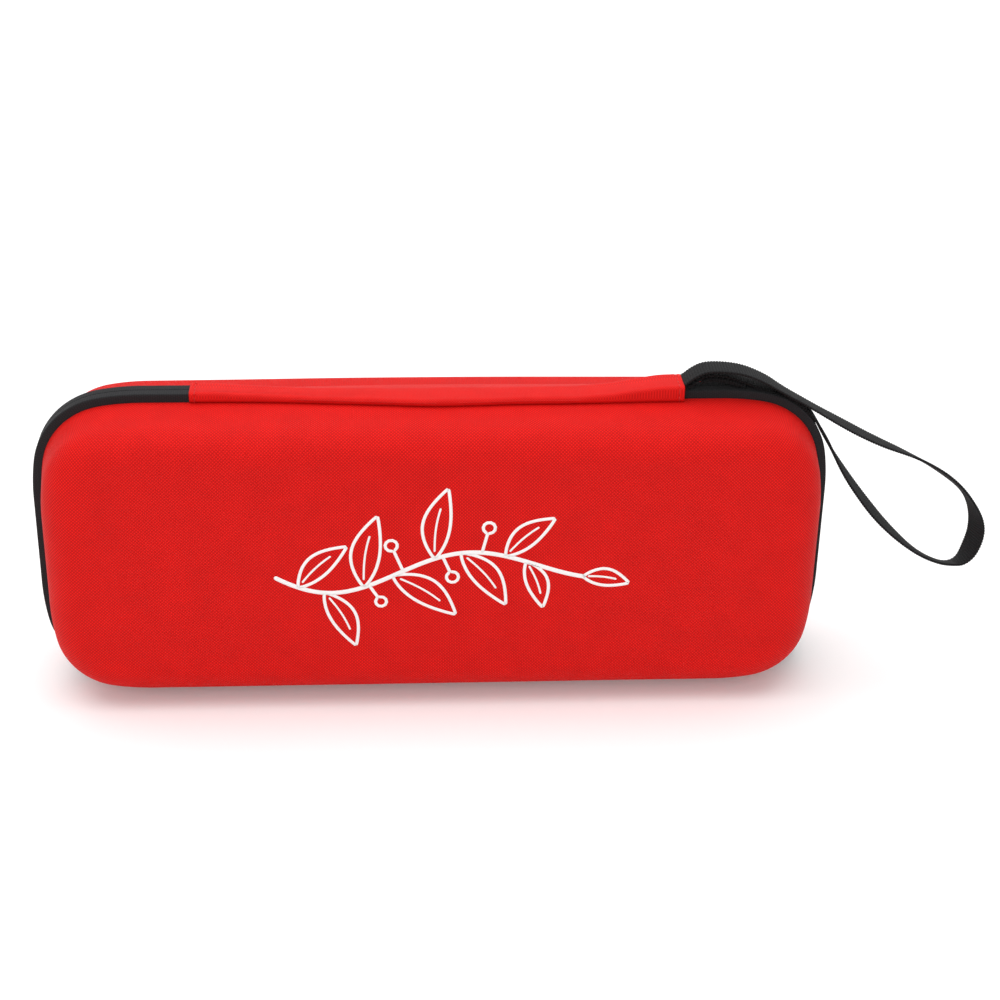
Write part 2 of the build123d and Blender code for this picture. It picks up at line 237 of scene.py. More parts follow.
def weave(tree, coordinates, pitch, pitch_across=None, warp_share=0.5):
    """Height of a plain weave, and which thread is on top, both between 0 and 1.

    With a and b the coordinates in threads, s = clamp(2 sin(pi a) sin(pi b) + warp_share),
    and the height is s |sin(pi a)| + (1 - s) |sin(pi b)|.
    """
    across = pitch_across or pitch
    turns = (math.pi / pitch, math.pi / across, 0.0)
    scaled = node(tree, "VectorMath", {0: coordinates, 1: turns}, operation="MULTIPLY")
    split = node(tree, "SeparateXYZ", {0: scaled.outputs[0]})
    waves = [node(tree, "Math", {0: split.outputs[i]}, operation="SINE").outputs[0] for i in (0, 1)]
    backs = [node(tree, "Math", {0: wave}, operation="ABSOLUTE").outputs[0] for wave in waves]
    product = node(tree, "Math", {0: waves[0], 1: waves[1]}, operation="MULTIPLY")
    share = {0: product.outputs[0], 1: 2.0, 2: warp_share}
    on_top = node(tree, "Math", share, operation="MULTIPLY_ADD", use_clamp=True)
    mixed = node(tree, "Mix", {0: on_top.outputs[0], 2: backs[1], 3: backs[0]}, data_type="FLOAT")
    return mixed.outputs[0], on_top.outputs[0]


def cloth(
    name,
    valley,
    crest,
    pitch,
    pitch_across=None,
    warp_share=0.5,
    depth=0.15,
    roughness=0.8,
    sheen_tint="#ffffff",
    specular=0.12,
    lean=0.2,
):
    """Woven or knitted cloth: the backs of threads stand out, with a painted highlight on them and a
    painted shade in the gaps.
    """
    material, tree = new_material(name)
    source = node(tree, "TexCoord").outputs["UV"]
    slub = node(tree, "TexNoise", {"Vector": source, "Scale": 90.0, "Detail": 3.0})
    height, on_top = weave(tree, source, pitch, pitch_across, warp_share)
    # Painted light and shade: valley is a painted shade in the gaps between threads, crest a painted
    # highlight on their backs, and lean mixes in painted light by which thread is on top.
    painted_light_share = node(tree, "Mix", {0: lean, 2: height, 3: on_top}, data_type="FLOAT")
    blend = {0: painted_light_share.outputs[0], 6: linear(valley), 7: linear(crest)}
    colour = node(tree, "Mix", blend, data_type="RGBA")
    slub_range = {"From Min": 0.3, "From Max": 0.7, "To Min": 1 - MOTTLE, "To Max": 1 + MOTTLE}
    shade = node(tree, "MapRange", {"Value": slub.outputs[0], **slub_range})
    mottled = node(tree, "HueSaturation", {"Value": shade.outputs[0], "Color": colour.outputs[2]})
    bump = node(tree, "Bump", {"Height": height, "Distance": depth * MM, "Strength": 1.0})
    surface = node(
        tree,
        "BsdfPrincipled",
        {
            "Base Color": mottled.outputs[0],
            "Roughness": roughness,
            "Specular IOR Level": specular,
            "Sheen Weight": 0.03,
            "Sheen Roughness": 0.5,
            "Sheen Tint": linear(sheen_tint),
            "Normal": bump.outputs[0],
        },
    )
    finish_material(tree, surface)
    return material


# %% [markdown]
# ## The cloths of this case
# The cover is a plain weave of textured polyester, about six tenths of a millimetre from
# thread to thread. The zipper tape is a finer, duller weave, the webbing has heavy cross
# ribs, and the lining is a fine knit whose wales run one way.

# %% Cloth materials
# Each cloth's valley colour is its painted shade in the thread gaps, its crest colour the painted
# highlight on the thread backs, and lean its share of painted light by which thread is on top.
RED = {"roughness": 0.6, "sheen_tint": "#ff8a80"}
cover_look = {"depth": 0.1, "specular": 0.1, "lean": 0.6}
cover_cloth = cloth("woven_polyester_red", "#a60806", "#ef1c18", 0.62 * MM, **cover_look, **RED)
spine_look = {"depth": 0.06, "lean": 0.5}
spine_cloth = cloth("woven_polyester_spine", "#c0100e", "#e61f1b", 0.5 * MM, **spine_look, **RED)
tape_cloth = cloth("woven_zipper_tape_black", "#161617", "#2e2e30", 0.5 * MM, 0.8 * MM, depth=0.08)
webbing_cloth = cloth(
    "ribbed_webbing_black", "#050506", "#1e1e1f", 0.8 * MM, 1.05 * MM, 0.25, roughness=0.7
)
lining_cloth = cloth(
    "knitted_nylon_lining", "#1d1d20", "#37373b", 0.7 * MM, 1.2 * MM, 0.8, depth=0.08, roughness=0.9
)
binding_cloth = cloth("binding_tape_black", "#131314", "#2b2b2d", 0.45 * MM, 0.7 * MM, depth=0.08)
elastic_cloth = cloth("woven_elastic_black", "#101011", "#2c2c2e", 0.8 * MM, 1.6 * MM, 0.8)
net_thread = cloth("nylon_net_thread", "#17171a", "#39393d", 0.2 * MM, 0.4 * MM, depth=0.02)

# %% [markdown]
# ## From a grid of points to a mesh
# A surface here is a grid: row by row along one parameter, column by column along the other.
# Its faces are the quads between neighbours, which whole-array index arithmetic gives at
# once. `wrap` joins the last column to the first, and each piece can carry its own UV map in
# metres, so that a pattern keeps its real size.

# %% Grid mesh helpers


def grid_quads(rows, columns, wrap_rows=False, wrap_columns=False):
    """Corner numbers of the quads of a grid whose points are numbered row by row."""
    index = np.arange(rows * columns).reshape(rows, columns)
    if wrap_columns:
        index = np.concatenate([index, index[:, :1]], axis=1)
    if wrap_rows:
        index = np.concatenate([index, index[:1]], axis=0)
    corners = [index[:-1, :-1], index[:-1, 1:], index[1:, 1:], index[1:, :-1]]
    return np.stack(corners, axis=-1).reshape(-1, 4)


def outwards(mesh):
    """Flips a closed mesh whose signed volume, the sum of a . (b x c) / 6, is negative."""
    mesh.calc_loop_triangles()
    corner = np.empty(len(mesh.loop_triangles) * 3, dtype=np.int32)
    mesh.loop_triangles.foreach_get("vertices", corner)
    places = np.empty(len(mesh.vertices) * 3)
    mesh.vertices.foreach_get("co", places)
    a, b, c = places.reshape(-1, 3)[corner.reshape(-1, 3)].transpose(1, 0, 2)
    if np.einsum("ij,ij->i", a, np.cross(b, c)).sum() < 0:
        mesh.flip_normals()


def make_piece(name, points, faces, material, uv=None, closed=True):
    """Object at the origin. Points are in millimetres and uv, one pair per face corner, too."""
    mesh = bpy.data.meshes.new(name)
    mesh.from_pydata((points * MM).tolist(), [], faces)
    if uv is not None:
        layer = mesh.uv_layers.new(name="metres")
        layer.data.foreach_set("uv", (uv * MM).astype(np.float32).ravel())
    mesh.materials.append(material)
    mesh.shade_smooth()
    if closed:
        outwards(mesh)
    return in_scene(name, mesh)


def grid_piece(name, points, uv, material, wrap_rows=False, wrap_columns=False, caps=False):
    """Piece from a grid (rows, columns, 3). Where the grid wraps, uv has a row or column more."""
    rows, columns = points.shape[:2]
    faces = grid_quads(rows, columns, wrap_rows, wrap_columns).tolist()
    corner_uv = uv.reshape(-1, 2)[grid_quads(*uv.shape[:2])].reshape(-1, 2)
    if caps:
        faces += [list(range(columns))[::-1], list(range((rows - 1) * columns, rows * columns))]
        corner_uv = np.concatenate([corner_uv, uv[0, :-1][::-1], uv[-1, :-1]])
    closed = caps or wrap_rows
    return make_piece(name, points.reshape(-1, 3), faces, material, corner_uv, closed)


def merge_doubles(mesh, distance, flat_angle=0.0, slivers=0.0, face_out=True):
    """Joins points closer than a distance in millimetres, then cleans flat or sliver faces."""
    work = bmesh.new()
    work.from_mesh(mesh)
    bmesh.ops.remove_doubles(work, verts=work.verts, dist=distance * MM)
    if flat_angle:
        flat = math.radians(flat_angle)
        bmesh.ops.dissolve_limit(work, angle_limit=flat, verts=work.verts, edges=work.edges)
    if slivers:
        bmesh.ops.dissolve_degenerate(work, edges=work.edges, dist=slivers * MM)
    if face_out:
        bmesh.ops.recalc_face_normals(work, faces=work.faces)
    work.to_mesh(mesh)
    work.free()


def thicken(piece, thickness, offset):
    """Solidify by a thickness in millimetres, inwards at an offset of -1 and both ways at 0."""
    solidify = piece.modifiers.new("thickness", "SOLIDIFY")
    solidify.thickness = thickness * MM
    solidify.offset = offset


def dress(piece, node_name, body=None):
    """The piece stands for a CAD node, which it hides, and rides on its body if one is given."""
    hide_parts(node_name)
    if body:
        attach(piece, body)


def gridded(*parts):
    """Grid of points or pairs, from coordinates that broadcast to its shape."""
    return np.stack(np.broadcast_arrays(*parts), -1)


def unit(vectors):
    """The vectors, each made one long."""
    return vectors / np.linalg.norm(vectors, axis=-1, keepdims=True)


def sampled(table, lengths, spots):
    """Each column of a table, interpolated at some distances."""
    return np.stack([np.interp(spots, lengths, column) for column in table.T], -1)


# %% [markdown]
# ## The rim
# Both shells share one outline: four straight runs and four soft corners, each of a tight
# arc between two slack ones. It is tabulated once by distance along it, from the middle of
# the top edge towards -X. Every band, coil and cover is then a function of that distance.

# %% Rim outline
RIM_LENGTH = 284.0
RIM_HEIGHT = 110.2
BAND_PROUD = 3.2
RIM_MIDDLE = BAND_PROUD + RIM_HEIGHT / 2
BAND_TOP = RIM_HEIGHT + 2 * BAND_PROUD
CORNER_ARCS = ((85.0, 10.0), (26.5, 70.0), (85.0, 10.0))
TABLE_STEP = 0.25


def rim_table():
    """Distance, x, z and heading along the rim.

    On an arc that starts at heading h0, x grows by r (sin h - sin h0) and z by r (cos h0 - cos h).
    """
    turns = np.cumsum([0.0] + [math.radians(turn) for _, turn in CORNER_ARCS])
    reach = sum(
        radius * (math.sin(end) - math.sin(start))
        for (radius, _), start, end in zip(CORNER_ARCS, turns, turns[1:])
    )
    long_run = RIM_LENGTH - 2 * reach
    short_run = RIM_HEIGHT - 2 * reach
    place, heading, total = np.array([0.0, RIM_HEIGHT / 2]), math.pi, 0.0
    table = []
    runs = (long_run / 2, short_run, long_run, short_run, long_run / 2)
    for number, run in enumerate(runs):
        along = np.linspace(0.0, run, max(2, round(run / TABLE_STEP)), endpoint=False)
        direction = np.array([math.cos(heading), math.sin(heading)])
        steps = place + along[:, None] * direction
        table.append(np.column_stack([total + along, steps, np.full(len(along), heading)]))
        place = place + run * direction
        total += run
        if number == len(runs) - 1:
            break
        for radius, degrees in CORNER_ARCS:
            turn = math.radians(degrees)
            angle = np.linspace(0.0, turn, round(radius * turn / TABLE_STEP), endpoint=False)
            bend = np.append(angle, turn)[:, None] + heading
            steps = place + radius * np.hstack(
                [np.sin(bend) - math.sin(heading), math.cos(heading) - np.cos(bend)]
            )
            table.append(np.column_stack([total + radius * angle, steps[:-1], bend[:-1]]))
            place = steps[-1]
            heading += turn
            total += radius * turn
    table.append(np.array([[total, place[0], place[1], heading]]))
    return np.concatenate(table)


RIM = rim_table()
PERIMETER = RIM[-1, 0]
rim_error = np.round(RIM[-1, 1:3] - RIM[0, 1:3], 4)
print("rim perimeter", round(PERIMETER, 1), "mm, closes to", rim_error)


def rim_at(distance):
    """Point (x, z) and outward direction of the rim at each distance, in millimetres."""
    wrapped = np.mod(distance, PERIMETER)
    place = sampled(RIM[:, 1:], RIM[:, 0], wrapped)
    heading = place[..., 2]
    return place[..., :2], np.stack([np.sin(heading), -np.cos(heading)], -1)


def off_rim(distance, outset, depth, side):
    """Points at an outset from the rim and a depth from the parting plane, on one half."""
    place, outward = rim_at(distance)
    flat = place + outset[..., None] * outward
    y = side * np.broadcast_to(depth, flat.shape[:-1])
    return np.stack([flat[..., 0], y, RIM_MIDDLE + flat[..., 1]], -1)


def rim_loop(spacing):
    """Distances all round the rim, evenly spaced, without the last one that closes it."""
    return np.linspace(0.0, PERIMETER, round(PERIMETER / spacing), endpoint=False)


# %% [markdown]
# ## Covers and linings
# A moulded skin of the case is one surface. Going in from the rim it climbs the drafted wall,
# rolls over a round edge and crosses the broad face to the middle line, where both halves of
# the grid meet. The face swells by under a millimetre, as pressed foam does, and the top
# wall of the back half bows a little along its length, where the spine pulls on it. The UV map
# unrolls the wall and the edge outwards from the face, as the cloth was before it was pressed.

# %% Moulded skins
HALF_DEPTH = 30.0
BAND_HALF_WIDTH = 4.1
WALL_DRAFT = math.radians(7.0)
EDGE_RADIUS = 12.5
LIP_DEPTH = 3.5
COVER_THICKNESS = 0.8
LINING_THICKNESS = 0.8
LINING_INSET = 4.8
RIM_GAP = 2.6
FACE_SWELL = 0.8
SKIN_SPACING = 2.0
COVER_RIPPLE = 0.12
BACK_CAMBER = 0.45
HALVES = {"front": -1, "back": 1}


def skin_profile(inset, first_depth):
    """Inset and depth from the rim's edge of a skin to the broad face, and its length so far.

    The wall is inset + (depth - band) tan(draft). The edge is a quarter round of radius
    r = EDGE_RADIUS - inset, tangent to the wall and to the face.
    """
    radius = EDGE_RADIUS - inset
    face_depth = HALF_DEPTH - inset
    centre_depth = face_depth - radius
    rise = centre_depth - BAND_HALF_WIDTH
    centre_inset = inset + (radius + math.sin(WALL_DRAFT) * rise) / math.cos(WALL_DRAFT)
    turn = np.linspace(WALL_DRAFT, math.pi / 2, 17)
    edge = np.stack(
        [centre_inset - radius * np.cos(turn), centre_depth + radius * np.sin(turn)], -1
    )
    depths = np.append(first_depth, np.linspace(BAND_HALF_WIDTH, edge[0, 1], 10)[:-1])
    wall_inset = inset + np.maximum(depths - BAND_HALF_WIDTH, 0.0) * math.tan(WALL_DRAFT)
    return np.concatenate([np.stack([wall_inset, depths], -1), edge])


def swell(x_share, z_share):
    """Rise of the face: (1 - x^4)^2 (1 - z^4)^2, flat in the middle and at the edge."""
    return np.clip(1 - x_share**4, 0, 1) ** 2 * np.clip(1 - z_share**4, 0, 1) ** 2


def skin_ripple(x, z):
    """Slow uneven waves of a pressed skin, from a few fixed sines, between about -1 and 1."""
    waves = ((0.031, 0.013, 0.4), (0.017, -0.041, 2.1), (0.052, 0.034, 4.0), (-0.024, 0.067, 5.2))
    return sum(np.sin(a * x * 2 + b * z * 2 + phase) for a, b, phase in waves) / len(waves)


def skin_piece(name, side, inset, first_depth, thickness, material, puff, ripple):
    """Closed skin: the profile carried round the rim, then straight lines to the middle line."""
    around = rim_loop(SKIN_SPACING)
    profile = skin_profile(inset, first_depth)
    outer = off_rim(around[None], -profile[:, :1] + 0 * around, profile[:, 1:], side)
    if side > 0:
        above = np.clip((outer[..., 2] - RIM_MIDDLE) / 40.0, 0, 1) ** 2
        far = np.clip((profile[:, 1:] - BAND_HALF_WIDTH) / 14.0, 0, 1)
        outer[..., 2] += BACK_CAMBER * np.cos(outer[..., 0] / 48.0) * above * far
    edge_ring = outer[-1]
    half_x = np.abs(edge_ring[:, 0]).max()
    half_z = np.abs(edge_ring[:, 2] - RIM_MIDDLE).max()
    middle = edge_ring.copy()
    middle[:, 0] = np.clip(edge_ring[:, 0], half_z - half_x, half_x - half_z)
    middle[:, 2] = RIM_MIDDLE
    share = np.linspace(0.0, 1.0, 25)[1:, None, None]
    face = edge_ring + share * (middle - edge_ring)
    rise = swell(face[..., 0] / half_x, (face[..., 2] - RIM_MIDDLE) / half_z)
    face[..., 1] += side * puff * rise
    points = np.concatenate([outer, face])
    points[1:, :, 1] += side * ripple * skin_ripple(points[1:, :, 0], points[1:, :, 2])
    lengths = np.linalg.norm(np.diff(profile, axis=0), axis=1)
    flap = np.append(lengths[::-1].cumsum()[::-1], 0.0)[:, None, None]
    outward = rim_at(around)[1]
    uv = np.concatenate([edge_ring[None, :, ::2] + flap * outward, face[..., ::2]])
    uv = np.concatenate([uv, uv[:, :1]], axis=1)
    piece = grid_piece(name, points, uv, material, wrap_columns=True)
    merge_doubles(piece.data, 0.001)
    if np.mean([face.normal.y for face in piece.data.polygons]) * side < 0:
        piece.data.flip_normals()
    thicken(piece, thickness, -1.0)
    return piece


COVER = ("cloth", 0.0, LIP_DEPTH, COVER_THICKNESS, cover_cloth, FACE_SWELL, COVER_RIPPLE)
LINING = ("knit", LINING_INSET, RIM_GAP, LINING_THICKNESS, lining_cloth, 0.0, 0.0)
for half, side in HALVES.items():
    for slot, (kind, *form) in (("cover", COVER), ("lining", LINING)):
        skin = skin_piece(f"{half}_{slot}_{kind}", side, *form)
        dress(skin, f"{half}_{slot}", f"{half}_half")
        print(half, slot, "faces", len(skin.data.polygons))

# %% [markdown]
# ## Bands round the rim
# The black band is two zipper tapes folded over the lips of the shells. Each is an L in
# section: an outer web and a side web that is sewn down on the cover. The coil of the zipper
# is one long plastic thread, wound round and round like a spring, and sewn under the tape's
# edge. Inside, a flat tape binds the edge of the lining.

# %% Bands and coils
TAPE_END = 82.5
COIL_END = 86.5
TAPE_THICKNESS = 0.8
TAPE_GAP = 0.12
WEB_ROUNDING = 0.5
COIL_PITCH = 1.5
COIL_WIRE = 0.24
BINDING_INSET = 5.6
BINDING_WIDTH = 9.4
BINDING_THICKNESS = 0.6


def round_corners(corners, radii, count=5):
    """Closed polygon with each corner replaced by a quadratic curve that starts radius away."""
    corners = np.asarray(corners, float)
    radii = np.asarray(radii, float)[:, None]
    start, end = (corners + radii * unit(np.roll(corners, n, axis=-2) - corners) for n in (1, -1))
    start, middle, end = (points[..., None, :] for points in (start, corners, end))
    t = np.linspace(0.0, 1.0, count)[:, None]
    curve = (1 - t) ** 2 * start + 2 * t * (1 - t) * middle + t**2 * end
    return curve.reshape(*corners.shape[:-2], -1, 2)


def section_lengths(section):
    """Distance round a closed section at each point, and back at the first one."""
    return lengths_along(np.concatenate([section, section[:1]]))


def rim_band(name, section, distances, side, material, wrap_rows=False):
    """Tube whose section of (outset, depth) points is carried along the rim."""
    points = off_rim(distances[:, None], section[None, :, 0], section[None, :, 1], side)
    along = np.append(distances, PERIMETER) if wrap_rows else distances
    uv = gridded(section_lengths(section)[None], along[:, None])
    return grid_piece(name, points, uv, material, wrap_rows, True, caps=not wrap_rows)


web = BAND_PROUD - TAPE_THICKNESS
tape_section = round_corners(
    [
        (BAND_PROUD, TAPE_GAP),
        (BAND_PROUD, BAND_HALF_WIDTH),
        (-0.1, BAND_HALF_WIDTH + 0.05),
        (-0.1, LIP_DEPTH),
        (web, LIP_DEPTH),
        (web, TAPE_GAP),
    ],
    [0.25, WEB_ROUNDING, 0.2, 0.2, 0.2, 0.25],
)
binding_section = round_corners(
    [
        (-BINDING_INSET, RIM_GAP),
        (-BINDING_INSET, RIM_GAP + BINDING_WIDTH),
        (-BINDING_INSET - BINDING_THICKNESS, RIM_GAP + BINDING_WIDTH),
        (-BINDING_INSET - BINDING_THICKNESS, RIM_GAP),
    ],
    [0.1, 0.1, 0.25, 0.25],
)
beyond_band = np.maximum(binding_section[:, 1] - BAND_HALF_WIDTH, 0.0)
binding_section[:, 0] -= beyond_band * math.tan(WALL_DRAFT)
tape_run = np.arange(TAPE_END, PERIMETER - TAPE_END + 0.01, 1.6)
tape_run = np.linspace(TAPE_END, PERIMETER - TAPE_END, len(tape_run))


def rings_of(outward, across, corners):
    """Rings cos(u) outward + sin(u) across, one for each pair of directions."""
    spin = np.linspace(0, 2 * math.pi, corners, endpoint=False)[None, :, None]
    return np.cos(spin) * outward[:, None] + np.sin(spin) * across[:, None]


def coil_piece(name, side):
    """Coil: a thin tube along a helix whose axis runs round the rim, flattened towards the tape."""
    turns = (PERIMETER - 2 * COIL_END) / COIL_PITCH
    steps = np.linspace(0.0, 1.0, round(turns * 10))
    angle = 2 * math.pi * turns * steps
    distances = COIL_END + steps * (PERIMETER - 2 * COIL_END)
    reach = np.array([0.75 - COIL_WIRE, 0.825 - COIL_WIRE])
    axis_outset, axis_depth = web - 0.75, TAPE_GAP + 0.13 + 0.825
    outset = axis_outset + reach[0] * np.sin(angle)
    centre = off_rim(distances, outset, axis_depth + reach[1] * np.cos(angle), side)
    forward = unit(np.gradient(centre, axis=0))
    hub = off_rim(distances, np.full_like(distances, axis_outset), axis_depth, side)
    outward = centre - hub
    outward = unit(outward - np.einsum("ij,ij->i", outward, forward)[:, None] * forward)
    rings = centre[:, None] + COIL_WIRE * rings_of(outward, np.cross(forward, outward), 5)
    girth = np.linspace(0, 2 * math.pi * COIL_WIRE, 6)
    uv = gridded(girth[None], lengths_along(centre)[:, None])
    return grid_piece(name, rings, uv, coil_plastic, wrap_columns=True, caps=True)


def smooth_surface(name, colour, roughness, metallic=0.0, coat=0.0, grain=0.02, scale=900.0, **more):
    """Moulded or coated surface: one colour, with a fine grain in the roughness and the bump."""
    material, tree = new_material(name)
    source = node(tree, "TexCoord").outputs["Object"]
    speckle = node(tree, "TexNoise", {"Vector": source, "Scale": scale, "Detail": 4.0})
    value = speckle.outputs[0]
    limits = {"To Min": roughness - 0.08, "To Max": roughness + 0.08}
    gloss = node(tree, "MapRange", {"Value": value, **limits})
    bump = node(tree, "Bump", {"Height": value, "Distance": grain * MM, "Strength": 1.0})
    inputs = {
        "Base Color": linear(colour),
        "Roughness": gloss.outputs[0],
        "Metallic": metallic,
        "Coat Weight": coat,
        "Normal": bump.outputs[0],
    }
    finish_material(tree, node(tree, "BsdfPrincipled", {**inputs, **more}))
    return material


coil_plastic = smooth_surface("nylon_monofilament_black", "#1b1b1d", 0.35, grain=0.01)
eva_foam = smooth_surface("pressed_eva_foam", "#2a2a2c", 0.85, grain=0.08, scale=1500.0)
coated_zinc = smooth_surface("black_coated_zinc", "#19191b", 0.38, metallic=0.6, coat=0.3)
steel_wire = smooth_surface("blackened_steel_wire", "#3a3a3d", 0.3, metallic=1.0)
grip_rubber = smooth_surface("moulded_soft_plastic", "#1a1a1c", 0.6, grain=0.04)
stop_plastic = smooth_surface("moulded_stop_plastic", "#18181a", 0.45)

for half, side in HALVES.items():
    body = f"{half}_half"
    tape = rim_band(f"{half}_tape_folded", tape_section, tape_run, side, tape_cloth)
    dress(tape, f"{half}_zipper_tape", body)
    binding = rim_band(
        f"{half}_binding_tape", binding_section, rim_loop(2.0), side, binding_cloth, wrap_rows=True
    )
    dress(binding, f"{half}_edge_binding", body)
    dress(coil_piece(f"{half}_coil_turns", side), f"{half}_zipper_coil", body)

# %% [markdown]
# ## Webbing
# The strap is ribbed webbing: thick weft cords cross it and show as ridges about a millimetre
# apart, and the same cords make its edges look like a fine saw. A ribbon is one closed
# section carried along a line. Its thickness and its width both breathe with the distance,
# so that the ridges and the notched edge are in the mesh and not only in the shading. A
# second, thicker strip of the webbing lies just under the run home, below the hump, so that
# black shows there where the red shell would show.

# %% Ribbon along a line
RIB_PITCH = 1.05
RIB_STEPS = 6
STRAP_WIDTH = 10.0
STRAP_THICKNESS = 1.0
UNDERLAY_THICKNESS = 1.8


def smooth(values, reach):
    """Values averaged over a bell of that many samples on each side."""
    bell = np.hanning(2 * reach + 1)
    padded = np.pad(values, reach, mode="edge")
    return np.convolve(padded, bell / bell.sum(), mode="valid")


def ribbon(name, line, roll, size, material, relief, scallop, pitch=RIB_PITCH):
    """Ribbed band along a line in millimetres, lying square to XZ and turned by roll in degrees.

    With s the distance along it and g = 1 - |sin(pi s / pitch)|, the half thickness is
    t / 2 - relief g and the half width is w / 2 - scallop g.
    """
    width, thickness = size
    lengths = lengths_along(line)
    steps = max(1, round(lengths[-1] / pitch)) * RIB_STEPS
    along = np.linspace(0.0, lengths[-1], steps + 1)
    centre = sampled(line, lengths, along)
    forward = unit(sampled(np.gradient(line, lengths, axis=0), lengths, along))
    turn = np.radians(np.interp(along, lengths, roll))[:, None]
    outward = np.stack([-forward[:, 2], 0 * along, forward[:, 0]], -1)
    sideways = np.array([0.0, -1.0, 0.0])
    normal = np.cos(turn) * outward + np.sin(turn) * sideways
    across = np.cos(turn) * sideways - np.sin(turn) * outward
    x, z = width / 2, thickness / 2
    section = round_corners([(-x, -z), (x, -z), (x, z), (-x, z)], [0.45 * thickness] * 4)
    groove = 1 - np.abs(np.sin(math.pi * steps * along / RIB_STEPS / lengths[-1]))
    wide = section[None, :, 0] * (1 - scallop / x * groove[:, None])
    thick = section[None, :, 1] * (1 - relief / z * groove[:, None])
    points = centre[:, None] + wide[..., None] * across[:, None]
    points += thick[..., None] * normal[:, None]
    uv = gridded(section_lengths(section)[None], along[:, None])
    return grid_piece(name, points, uv, material, wrap_columns=True, caps=True)


strap_stations = np.linspace(0, 1, len(STRAP_ROLL))
strap_roll = np.interp(np.linspace(0, 1, len(strap_line)), strap_stations, STRAP_ROLL)
strap_size = (STRAP_WIDTH, STRAP_THICKNESS)
strap_form = (webbing_cloth, 0.16, 0.28)
strap = ribbon("strap_webbing", strap_line / MM, smooth(strap_roll, 24), strap_size, *strap_form)
dress(strap, "wrist_strap", "back_half")
# A thicker strip of black webbing under the hump, where it hides the red shell.
home = strap_line[len(strap_line) // 2 :]
underlay_line = home[(home[:, 0] > 0.0962) & (home[:, 0] < 0.1125)] + (0.0, 0.0003, -0.0018)
underlay_size = (STRAP_WIDTH, UNDERLAY_THICKNESS)
underlay = ribbon("strap_underlay", underlay_line / MM, 0 * underlay_line[:, 0], underlay_size, *strap_form)
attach(underlay, "back_half")
for piece in (strap, underlay):
    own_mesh(piece)
print("strap faces", len(strap.data.polygons))

# %% [markdown]
# Under the spine the two ends lie flat, one on the other. The upper one is cut shorter, so
# that the cloth over it rises gently.

# %% Sewn ends of the strap
ROOT_ENDS = {"lower": (75.2, 117.1), "upper": (80.5, 118.15)}
for name, (start, height) in ROOT_ENDS.items():
    sewn_line = np.array([(87.0, 0.0, height), (start, 0.0, height)])
    label = f"strap_sewn_end_{name}"
    sewn = ribbon(label, sewn_line, [0, 0], strap_size, webbing_cloth, relief=0.13, scallop=0.22)
    dress(sewn, "strap_root", "back_half")
    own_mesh(sewn)

# %% [markdown]
# ## Spine
# A doubled strip of the cover's cloth bridges the two halves and hides the hinge. It is flat
# over the ends of the black band, sinks a little between them, and climbs over the sewn
# strap at the right. Its front edge is slack and falls forward into a soft round fold. The
# section is a rounded polygon whose corners slide along X, so one grid holds all of it.

# %% Spine strip
SPINE_ENDS = (-87.2, 89.8)
SPINE_CLOTH = 0.8
SPINE_STATIONS = (
    # x, crest height, back end of the crest, front edge, back edge
    (-88.5, 117.55, 4.6, 5.3, 5.6),
    (-80.0, 117.55, 4.5, 5.3, 5.6),
    (-72.0, 117.3, 3.9, 5.5, 6.0),
    (-60.0, 116.75, 2.7, 5.8, 6.8),
    (-48.0, 116.4, 1.7, 6.2, 7.6),
    (-30.0, 116.25, 1.2, 7.5, 8.6),
    (-12.0, 116.2, 1.0, 8.8, 9.2),
    (0.0, 116.2, 1.0, 9.4, 9.3),
    (12.0, 116.25, 1.0, 9.1, 9.3),
    (30.0, 116.25, 1.1, 8.5, 8.9),
    (50.0, 116.35, 1.6, 8.1, 8.5),
    (60.0, 116.75, 2.3, 7.9, 8.3),
    (67.0, 117.4, 3.2, 7.8, 8.2),
    (75.0, 118.6, 4.2, 7.6, 8.1),
    (80.0, 119.3, 4.9, 7.5, 8.1),
    (88.5, 119.45, 5.2, 7.3, 8.1),
)
HEM = 1.9
HEM_GROOVE = 0.25
EDGE_TUCK = 1.0


def wall_top(depth):
    """Height of the top side wall at a depth from the parting plane."""
    beyond = np.maximum(depth - BAND_HALF_WIDTH, 0.0)
    return BAND_TOP - BAND_PROUD - beyond * math.tan(WALL_DRAFT)


def spine_corners(x):
    """Corners (y, z) of the spine's section at each x, front edge first and underside last."""
    table = np.array(SPINE_STATIONS)
    columns = sampled(table[:, 1:], table[:, 0], x).T
    crest, back, front_edge, back_edge = [smooth(column, 6) for column in columns]
    crest += 0.05 * np.sin(0.21 * x + 0.6) + 0.04 * np.sin(0.47 * x)
    front_edge += 0.10 * np.sin(0.13 * x + 1.0)
    foot = wall_top(front_edge - EDGE_TUCK) + 0.1
    sinking = np.clip((117.4 - crest) / 1.2, 0, 1) * (x < 70)
    shoulder = crest - 0.1 - 0.3 * sinking
    back_foot = wall_top(back_edge) + 0.1
    t = SPINE_CLOTH
    outside = [
        (EDGE_TUCK - front_edge, foot),
        (-front_edge, foot + EDGE_TUCK),
        (0.2 - front_edge, shoulder),
        (-2.0 + 0 * x, crest),
        (back, crest),
        (back_edge, back_foot + 1.0),
        (back_edge, back_foot),
    ]
    inside = [
        (back_edge - t, back_foot),
        (back_edge - t, back_foot + 0.6),
        (back - 0.3, crest - t),
        (-2.0 + 0 * x, crest - t),
        (0.2 + t - front_edge, shoulder - t),
        (t - front_edge, foot + EDGE_TUCK),
        (EDGE_TUCK + 0.5 - front_edge, foot),
    ]
    return np.stack([np.stack(corner, -1) for corner in outside + inside], -2)


